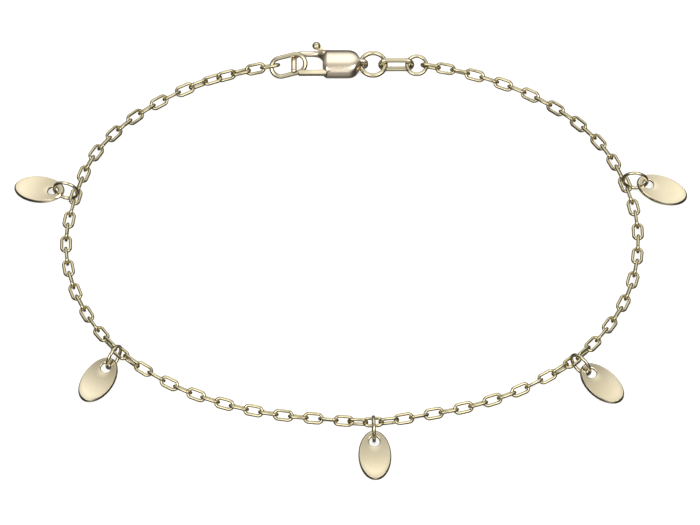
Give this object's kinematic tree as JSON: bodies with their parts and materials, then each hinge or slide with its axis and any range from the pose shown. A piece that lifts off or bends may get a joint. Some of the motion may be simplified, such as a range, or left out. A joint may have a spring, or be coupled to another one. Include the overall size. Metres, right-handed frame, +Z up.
{
  "type": "charm bracelet",
  "caption": "Fine gold trace chain bracelet with five plain oval charms on jump rings, closed by a lobster clasp with a sprung lever, lying in a loop.",
  "frame": {"origin": "middle of the bracelet's footprint on the surface it lies on", "axes": "+Z up from the surface, +X along the clasp from hook to lug, +Y from the front charm towards the clasp"},
  "size_m": [0.0792, 0.0632, 0.0032],
  "materials": {
    "chain_gold": "polished pale yellow gold wire",
    "polished_gold": "mirror polished pale yellow gold"
  },
  "bodies": {
    "bracelet": {"chain_right": "chain_gold", "chain_left": "chain_gold", "charm_ring_back_right": "polished_gold", "charm_ring_front_right": "polished_gold", "charm_ring_front": "polished_gold", "charm_ring_front_left": "polished_gold", "charm_ring_back_left": "polished_gold", "charm_oval_back_right": "polished_gold", "charm_oval_front_right": "polished_gold", "charm_oval_front": "polished_gold", "charm_oval_front_left": "polished_gold", "charm_oval_back_left": "polished_gold", "clasp_body": "polished_gold", "clasp_ring": "polished_gold", "connector_link": "polished_gold", "end_ring": "polished_gold", "catch_ring": "polished_gold"},
    "lever": {"clasp_lever": "polished_gold"}
  },
  "joints": [
    {"name": "lever_swing", "type": "hinge", "parent": "bracelet", "child": "lever", "pos_m": [-0.00205, 0.02812, 0.00145], "axis": [0, 0, -1], "range_deg": [0, 11], "stiffness_Nm_per_rad": 0.002, "springref_deg": -11.46}
  ]
}
